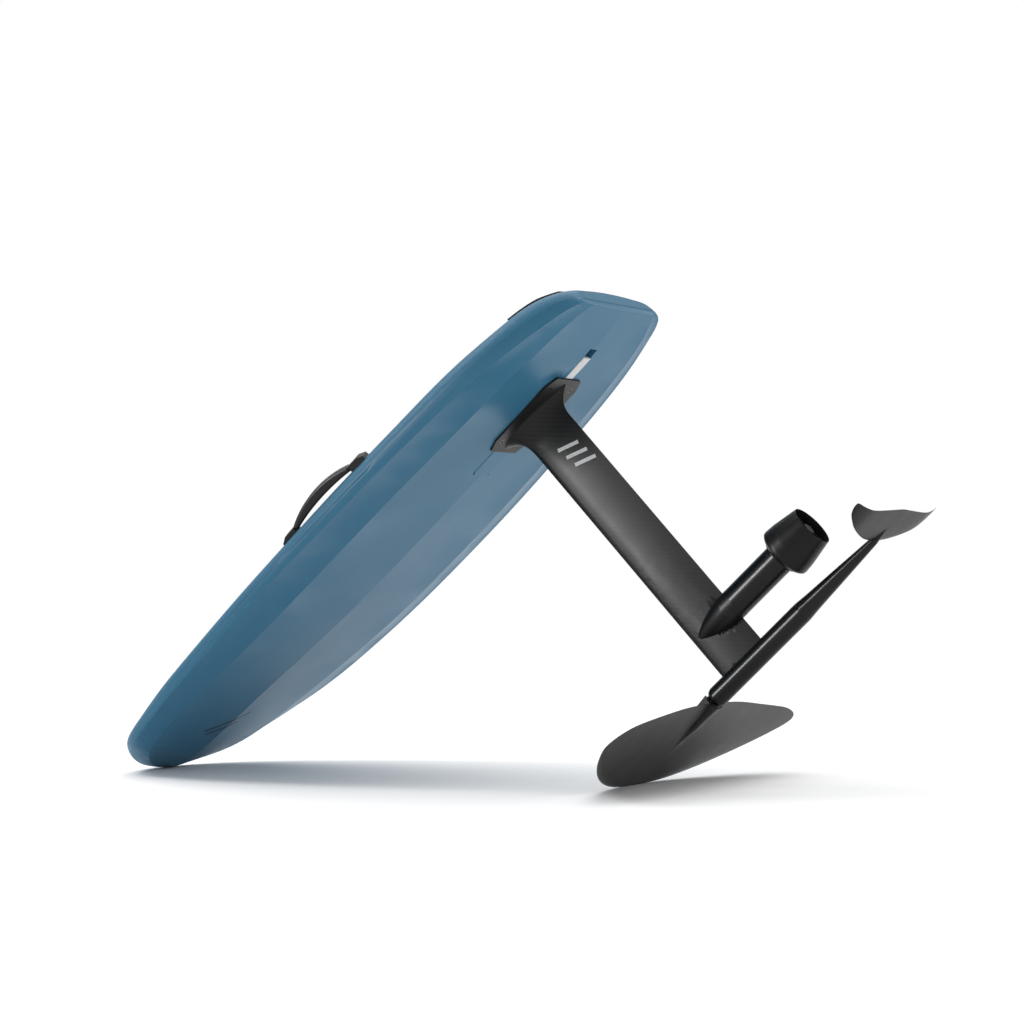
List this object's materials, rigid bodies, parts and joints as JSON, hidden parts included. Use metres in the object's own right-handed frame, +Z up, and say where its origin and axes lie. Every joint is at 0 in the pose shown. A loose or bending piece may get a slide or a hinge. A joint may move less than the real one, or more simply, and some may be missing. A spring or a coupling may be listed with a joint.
{
  "type": "electric hydrofoil board",
  "caption": "Hydrofoil board resting on nose and front wing, with mast, motor pod, ducted propeller, fuselage, front wing and tail wing.",
  "frame": {"origin": "centre of the bounding box's bottom face, on the floor that the craft rests on", "axes": "+X level, from the nose end towards the tail end; +Y across, towards the craft's right-hand side as it faces its nose; +Z up"},
  "size_m": [1.6034, 0.8, 0.9087],
  "materials": {
    "blue_composite": "satin paint",
    "black_foam": "grooved foam",
    "black_rubber": "matte",
    "black_plastic": "fine texture",
    "light_plastic": "matte",
    "steel": "satin",
    "brass": "machined",
    "anodised_alloy": "black anodised",
    "carbon_composite": "satin clear coat over twill",
    "moulded_nylon": "moulded"
  },
  "bodies": {
    "root": {"board_hull": "blue_composite", "board_deck": "blue_composite", "hatch_seal": "black_rubber", "deck_hinge_leaf": "steel", "hatch_hinge_pin": "steel", "battery_pack": "black_plastic", "battery_handle": "black_rubber", "motor_controller": "black_plastic", "power_connector": "black_plastic", "deck_pad_front": "black_foam", "deck_pad_rear": "black_foam", "deck_pad_right": "black_foam", "deck_pad_left": "black_foam", "tail_kick_pad": "black_foam", "carry_handle_right": "black_rubber", "carry_handle_left": "black_rubber", "handle_anchors": "black_plastic", "handle_screws": "steel", "strap_inserts": "brass", "leash_cup": "black_plastic", "leash_bar": "steel", "vent_plug": "black_plastic", "mast_plate": "anodised_alloy", "plate_screws": "steel", "mast_inserts": "brass", "slot_insert": "light_plastic", "slot_filler": "blue_composite", "power_cable": "black_rubber", "pod_fairing_right": "carbon_composite", "pod_fairing_left": "carbon_composite", "motor_stator": "brass", "motor_end_cap": "anodised_alloy", "front_bearing": "steel", "rear_bearing": "steel", "shaft_seal": "black_rubber", "duct_shroud": "moulded_nylon", "duct_collar": "anodised_alloy", "duct_struts": "moulded_nylon", "outlet_vanes": "moulded_nylon", "housing_screws": "steel", "mast_bolts": "steel", "front_wing_bolts": "steel", "tail_wing_bolts": "steel", "wing_tongue": "steel", "fuselage": "anodised_alloy", "mast_blade": "carbon_composite", "front_wing": "carbon_composite", "tail_wing": "carbon_composite", "tail_boom": "anodised_alloy", "motor_housing": "anodised_alloy"},
    "hatch": {"hatch_lid": "blue_composite", "hatch_pad": "black_foam", "hatch_hinge_leaf": "steel"},
    "latch_left": {"latch_left": "black_plastic"},
    "latch_right": {"latch_right": "black_plastic"},
    "rotor": {"motor_rotor": "steel", "drive_shaft": "steel", "propeller": "moulded_nylon", "propeller_nut": "moulded_nylon"}
  },
  "joints": [
    {"name": "hatch_hinge", "type": "hinge", "parent": "root", "child": "hatch", "pos_m": [-0.54765, 0, 0.27915], "axis": [0, -1, 0], "range_deg": [0, 100]},
    {"name": "latch_left_turn", "type": "hinge", "parent": "hatch", "child": "latch_left", "pos_m": [-0.13003, -0.1, 0.65235], "axis": [-0.6783, 0, 0.7348], "range_deg": [-90, 0]},
    {"name": "latch_right_turn", "type": "hinge", "parent": "hatch", "child": "latch_right", "pos_m": [-0.13003, 0.1, 0.65235], "axis": [-0.6783, 0, 0.7348], "range_deg": [0, 90]},
    {"name": "propeller_spin", "type": "hinge", "parent": "root", "child": "rotor", "pos_m": [0.48241, 0, 0.33828], "axis": [0.7348, 0, 0.6783], "continuous": true}
  ]
}
